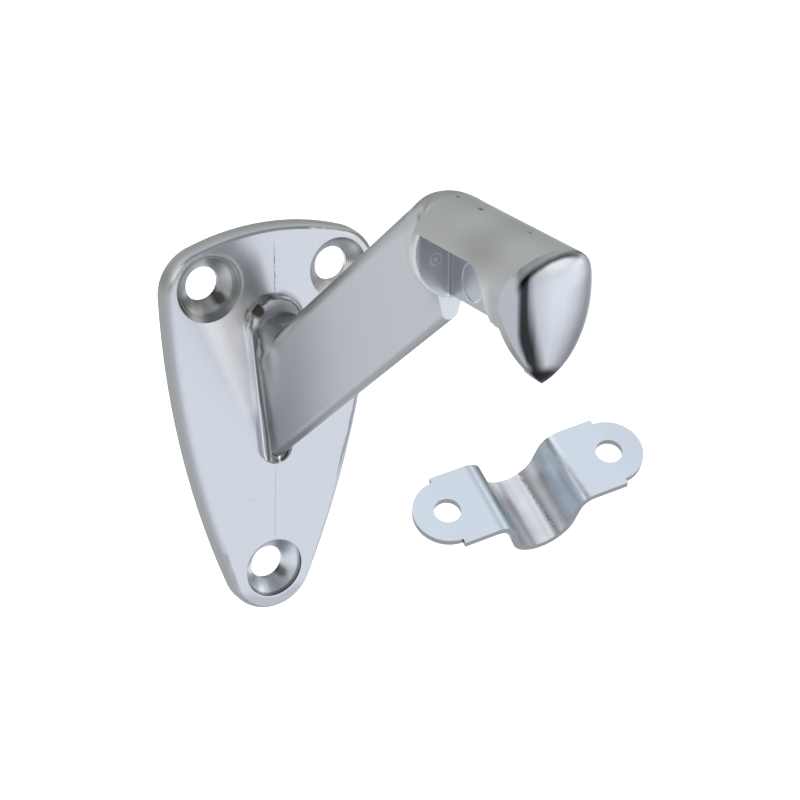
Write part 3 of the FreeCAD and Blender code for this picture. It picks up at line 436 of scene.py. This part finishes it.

# %% [markdown]
# Shade is painted dark where the metal folds in: in a ragged crack over the boss, widening to a
# patch at its upper left, inside the bead's lip and in the two corners at its foot. A crack could
# be cut into the mesh. At a few tenths of a millimetre it is all colour, so it is a band round the
# boss that noise makes ragged. The plate to the right of the boss also gets a painted shade.

# %% Painted shade in the creases
on_top = step(z, 16.5, 18.5)
crack_line = boss + wobble * 0.9 + 0.4 * step(x, -2.0, 1.0) + 0.4 * step(x, 2.2, 3.4)
crack = band(crack_line, 5.05, 0.32) * on_top * step(out, 3.2, 3.7)
crack = crack * step(out - 0.5 * step(x, 0.0, 1.5), 5.5, 5.2)
# painted shade on the plate to the right of the boss
painted_boss_shade = band(boss, 5.35, 0.7) * step(x, 0.3, 1.5) * plate * face * on_top
blob = step(far(x + 3.9, (z - 21.5) * 0.8) + wobble * 0.9, 1.4, 0.6)
blob = blob * span(out, 3.4, 4.2, 5.8, 6.2)
inner = band(far(x + 0.35, z - 15.1) + wobble * 0.3, 4.15, 0.28) * step(x, -1.2, -2.0)
inner = inner * step(z, 12.6, 13.8) * span(out, 4.9, 5.2, 5.9, 6.4)
foot_left = span(x, -1.8, -1.3, -0.2, 0.3) * step(z, -4.3, -4.9) * span(out, 4.3, 4.7, 6.0, 6.4)
foot_right = step(x, 0.0, 0.6) * step(z, -3.6, -4.4) * span(out, 4.05, 4.3, 5.8, 6.2)
# painted shade in the crack, inside the bead's lip and in the corners at its foot
painted_crease_shade = (0.85 * crack).high(blob).high(0.85 * inner).high(0.72 * bead_lip)
painted_crease_shade = painted_crease_shade.high(0.85 * foot_right).high(0.85 * foot_left).low(1.0)
chrome.tell("painted_crease_shade")

# %% [markdown]
# The two halves of the die left a fine parting line down the middle of the plate, above and below
# the arm, and a short scratch beside it. The polished face also gets painted reflections of the
# arm: a pale streak to its left and a grey patch between the upper left hole and the line.

# %% Marks and painted reflections on the plate
ragged = step(noise(chrome.place, 1500.0, 3.0), 0.36, 0.56)
seam_up = band(x + wobble * 0.25, 0.0, 0.22) * span(z, 23.2, 23.8, 29.0, 33.6)
seam_up = seam_up * (0.35 + 0.65 * ragged)
seam_low = band(x, 0.1, 0.22) * span(z, -21.8, -20.6, -8.4, -7.2)
scratch = band(z, -13.3, 0.16) * step((x + 4.3).size(), 0.7, 0.45)
lines = (seam_up + 0.3 * seam_low + 0.35 * scratch).low(1.0) * plate * face
tilt = x + (z - 27.0) * 0.28
# a painted reflection of the arm: a grey patch between the upper left hole and the parting line
painted_grey_reflection = span(tilt, -7.0, -3.9, -3.0, -0.8) * span(z, 21.6, 23.4, 28.0, 33.6)
painted_grey_reflection = painted_grey_reflection * plate * face * (1.0 - cones) * (1.0 - crack)
# a painted reflection of the arm: a pale streak to the left of the bead
slope = x + 6.1 + (z - 3.0) * 0.47
streak = step(slope, -0.8, 3.6) * span(z, 0.0, 3.8, 21.0, 25.5) * step(x, -2.0, -3.0)
streak = plate * face * streak * step(out, 4.2, 4.0)
chrome.tell("marks on the plate")

# %% [markdown]
# The arm is a flat blade. Its flank is one even satin grey, painted paler in the groove at its root
# and given painted shade where the bead shades it. The upper edge and the underside get darker
# painted reflections of other parts of the room, and the flare near the boss a dark painted shade.

# %% Arm
top_face = step(nz, 0.25, 0.6)
underside = arm * step(nz, -0.2, -0.75)
rake = z - 0.78 * out + step(out, 44.0, 58.0)
turn_up = step(out, 55.5, 59.5) * step(nz, 0.1, 0.5)
upper_edge = arm * top_face.high(step(rake, 7.6, 9.0)) * (1.0 - turn_up)
root_shade = step(z, 6.0, 16.0) * step(out, 10.2, 7.8) * step(out, 6.2, 7.6)
flank = 0.384 + 0.02 * step(out, 26.0, 18.0) + 0.58 * step(out, 6.7, 6.0) * step(z, 18.5, 16.0)
flank = flank * (1.0 - 0.55 * root_shade)
flare = span(z, 15.5, 17.5, 21.0, 22.0) * span(out, 5.8, 6.6, 9.0, 15.0)
flare = flare * step(x.size(), 0.8, 2.2).high(step(out, 9.5, 8.5))
chrome.tell("arm")

# %% [markdown]
# The tones of plate, root and arm now meet in one colour. Their order matters: the holes come
# after the plate's edge, because they cut through it, and the bead's shade comes after both.

# %% Plate, root and arm colours
high_up = step(nz, 0.3, 0.8)
ground = mix(plate, grey(flank, (0.99, 1.0, 1.025)), grey(0.458, (0.985, 1.0, 1.045)))
tone = lay(
    mix, ground,
    (streak, grey(0.86 + 0.14 * step(boss, 8.5, 5.6), (1.03, 1.0, 0.99))),
    (foot_edge, grey(0.35, COOL)),
    (plate.high(bead_wall) * bead_wall, grey(0.56 - 0.14 * step(z, 4.0, 12.0), COOL)),
    (bead_round, grey(0.22, COOL)),
    (0.6 * beside_bead, grey(0.08, COOL)),
    (upper_edge, grey(0.33, WARM)),
    (arm * turn_up, grey(0.44, WARM)),
    (underside, grey(0.25)),
    (side_wall, grey(0.285 + 0.13 * high_up, WARM)),
    ((0.62 + 0.16 * high_up) * roll, grey(0.15, COOL)),
    (cones, grey(cone_tone)),
    (low_hole.cone, grey(1.12 * cone_tone, (0.96, 1.0, 1.07))),
    (0.55 * painted_grey_reflection, grey(0.13, COOL)),
    (0.9 * lip_light, grey(0.74, COOL)),
    (0.45 * painted_boss_shade, grey(0.15, COOL)),
    (0.8 * knuckle, grey(0.36 - 0.19 * step(x, -1.8, 0.6), COOL)),
    (0.55 * flare, grey(0.10, COOL)))
chrome.tell("plate, root and arm colours")

# %% [markdown]
# The finger is left nearly as cast, with three small pits along its top. In its pocket are a round
# mark of the pin that pushed the casting out, a small ring beside it and a fine grain. The pits
# could be holes in the mesh, but they are smaller than a facet, so their shade is painted as dark
# spots, with relief. The skin is painted lighter on top towards the elbow and darker on the sides
# and underside near the nose, and the keel's facet under the elbow gets a painted highlight.


# %% Finger
def spot(across, outward, squash, start, full):
    """A ragged spot on the finger's top."""
    return step(far(x - across, (out - outward) * squash) + wobble, start, full)


pit = spot(-0.1, 62.7, 0.7, 0.5, 0.2).high(spot(-0.2, 69.7, 0.6, 0.55, 0.2))
pit = pit.high(spot(0.3, 82.3, 0.7, 0.4, 0.15)) * step(nz, 0.9, 0.95) * finger
ring_far = far(x + 3.95, z - 47.8)
ring = band(ring_far, 0.95, 0.28).high(step(ring_far, 0.4, 0.25)) * inside
divide = band(x.size(), 1.72, 0.3) * step(out, 64.3, 63.9)
speck = inside * step(noise(chrome.place, 3500.0, 2.0), 0.62, 0.7)
worn = step(far(x + 5.0, (out - 78.0) * 0.5, z - 54.0), 4.5, 0.5) * finger
pin_mark = far(out - 69.6, z - 45.6)
skin = 0.485 - 0.05 * band(out, 79.0, 7.0) + 0.04 * step(nz, 0.6, 0.95) * step(out, 66.0, 72.0)
skin = skin - step(out, 83.0, 85.5) * (0.14 * step(nz, 0.45, 0.0) + 0.12 * step(nz, -0.35, -0.6))
pin_tone = 0.335 + 0.03 * step(pin_mark, 3.0, 2.8) + 0.2 * band(pin_mark, 2.9, 0.25)
tone = lay(
    mix, tone,
    (finger, grey(skin, WARM)),
    (0.3 * worn, grey(0.32, (1.05, 0.99, 0.95))),
    (inside, grey(0.40 + 0.12 * ring + 0.12 * speck + 0.18 * divide, COOL)),
    (web, grey(pin_tone, COOL)),
    (keel, grey(0.52, COOL)))
chrome.tell("finger")

# %% [markdown]
# The polished nose mirrors the room as soft upright bands, and the darkest one is where it looks
# towards the unlit space beside the camera. Dark cards in the room could give that band. The room
# here is plain, so the bands are painted reflections laid on the nose itself, by the direction that
# its surface faces. A dark painted line runs along its upper edge, and its tip is painted nearly
# black.

# %% Nose
facing = nx / front.high(0.05)
below = (51.0 - z).high(0.0)
lift = (45.0 - z).high(0.0) ** 2.0 * 0.009
dark_end = below * 0.0055 + below * below * 0.0022 - 0.61
shadow = step((facing - dark_end) / (below * 0.006 + 0.11), 1.0, -1.0)
shadow = shadow * step(facing - lift, -0.98, -0.79)
round_edge = far(x, z - 48.93) - 6.45 - 0.115 * (x + 3.0).high(0.0)
upper = step(z, 50.0, 51.5) * step(x, -6.5, -5.4)
crest = band(round_edge + wobble * 0.2, 0.0, 0.68) * upper * step(x, 6.5, 1.0)
over = step(round_edge, 0.05, 0.35) * upper
point = step(z + 0.3 * x.high(0.0), 39.4, 37.5) * step(out, 86.5, 88.0)
turned_away = facing + below * 0.025 - 0.25 * step(z, 50.5, 53.0)
bright = 0.70 + 0.23 * step(facing, -0.55, -0.12) - 0.58 * step(turned_away, 0.0, 0.85)
bright = (bright - 0.10 * step(z, 50.0, 42.0)) * (1.0 + 0.25 * step(z, 53.3, 55.0))
left_part = step(facing - lift, -0.76, -0.92)
mirror = blend(left_part, bright, 0.61) * (1.0 - 0.93 * shadow * (1.0 - over))
mirror = mirror * (1.0 - 0.55 * over) * (1.0 - 0.9 * crest)
tone = lay(
    mix, tone,
    (cap, grey(0.53 * mirror, (0.985, 1.0, 1.05))),
    (point, grey(0.01)),
    (0.65 * lines, grey(0.06)),
    (painted_crease_shade.high(0.65 * pit), grey(0.04, (1.1, 1.0, 0.9))))
chrome.tell("nose")

# %% [markdown]
# The degree of polish is the roughness: low on the nose, high on the as-cast skin and where the
# creases' shade is painted.
# It is laid zone by zone, as the colour was. Fine relief breaks up the reflections a little. It
# goes through a Bump node, because real grain of this size would need millions of faces.

# %% Polish and relief
rough = lay(
    blend, blend(plate, 0.32, 0.24),
    (arm * top_face, 0.45), (side_wall, 0.50), (cones, 0.30), (knuckle, 0.45),
    (finger, 0.48), (inside, 0.34), (cap, 0.16), (painted_crease_shade, 0.6))
relief = noise(chrome.place, 2600.0) * (0.0012 + 0.002 * finger) + cones * rings * 0.003
relief = relief - seam_up * 0.02 - crack * 0.03 - pit * 0.05 + ring * 0.02
casting.data.materials.clear()
casting.data.materials.append(chrome.set(
    Base_Color=tone, Metallic=1.0, Specular_Tint=(0.68, 0.68, 0.68), Roughness=rough,
    Normal=node(chrome.tree, "ShaderNodeBump", {}, Height=relief, Distance=0.001, Strength=1.0)))
chrome.tell("polish and relief")

# %% [markdown]
# The strap was pressed from zinc-plated strip. Its ears are smooth and bright, and its cut edges
# are duller. It lies at a slant, so its finish is laid out in its own directions: along it, across
# its width and up from its face. A UV map would do the same, but the CAD mesh has none.

# %% Zinc
zinc = Finish("bright_zinc")
CENTRE = (44.3, -15.4, -14.65)
ALONG = (0.9731, -0.1023, 0.2062)
WIDE = (-0.0212, 0.8521, 0.5229)
FACE_UP = (-0.2292, -0.5132, 0.8271)


def part_along(parts, direction):
    """How far a place or a normal reaches in a direction."""
    return parts[0] * direction[0] + parts[1] * direction[1] + parts[2] * direction[2]


from_centre = [part * MM - start for part, start in zip(split(zinc.place), CENTRE)]
faces = split(zinc.normal)
along = part_along(from_centre, ALONG)
aside = part_along(from_centre, WIDE)
upward = part_along(faces, FACE_UP)
endward = part_along(faces, WIDE).size()
hole_wall = step(upward.size(), 0.4, 0.2) * step(along.size(), 10.0, 10.6)
cut = step(endward, 0.5, 0.7).high(hole_wall)
jitter = noise(zinc.place, 900.0, 3.0) - 0.5
slip = along + 0.05 * aside + jitter * 0.35
zinc.tell("directions")

# %% [markdown]
# The trough is a bent mirror, so it shows the room as stripes across the strap, with a dark one at
# each bend. They could come from a real room. Here each is a painted reflection, a soft band at its
# place along the strap. The die that pressed the trough left a ragged dark line in it.

# %% Trough
stripe = 1.08 + 0.07 * band(along, -3.4, 1.6) - 0.33 * band(along, -1.5, 1.1)
stripe = stripe + 0.08 * band(along, 0.7, 0.9) - 0.15 * band(along, 1.9, 0.6)
stripe = stripe - 0.50 * band(along, 3.1, 1.1) - 0.20 * band(along, 4.9, 1.5)
left_bend = 0.24 * band(along, -8.7, 1.0) + 0.42 * band(slip, -6.5, 1.3)
right_bend = 0.64 * band(slip, 7.65, 0.9) + 0.25 * band(slip, 6.3, 1.2)
far_corners = step(aside, 0.0, 4.5) * (band(along, -6.0, 1.3) + 0.8 * band(along, 5.2, 1.9))
ears = 0.03 * step(along, -15.0, -20.0) - 0.05 * step(along, 15.0, 20.0)
stripe = (stripe - left_bend - right_bend - 0.55 * far_corners + ears).high(0.05)
die = band(slip + jitter * 0.5, 2.95, 0.45) * step(noise(zinc.place, 2400.0, 3.0), 0.40, 0.62)
die = die * step(upward, 0.0, 0.2)
pressed = step(along.size(), 7.6, 6.2)
blotch = 1.0 + pressed * 0.25 * (noise(zinc.place, 260.0, 3.0) - 0.5)
zinc.tell("trough")

# %% [markdown]
# Zinc plate is slightly blue. It looks warmer in the middle of the trough and bluer on its two
# slopes, where it mirrors other parts of the room. Three painted tints of one brightness stand for
# those reflections.

# %% Zinc colours
warm = span(along, -5.0, -3.8, 4.2, 5.4)
cold = span(along, 5.0, 5.8, 7.2, 8.0) + span(along, -8.4, -7.8, -6.6, -5.6)
zinc_level = 0.64 * stripe * blotch
strap_tone = lay(
    mix, grey(zinc_level, (0.955, 1.0, 1.05)),
    (warm, grey(zinc_level, (1.0, 0.99, 1.01))),
    (cold.low(1.0), grey(zinc_level, (0.89, 1.0, 1.13))),
    (0.6 * die, grey(0.12)),
    (cut, grey(0.215, (1.0, 1.0, 0.99))))
strap.data.materials.clear()
strap.data.materials.append(zinc.set(
    Base_Color=strap_tone, Metallic=1.0, Specular_Tint=(0.75, 0.75, 0.75),
    Roughness=blend(pressed, 0.27, 0.36),
    Normal=node(zinc.tree, "ShaderNodeBump", {}, Height=jitter * pressed * 0.02 - die * 0.02,
                Distance=0.001, Strength=1.0)))
zinc.tell("colours")
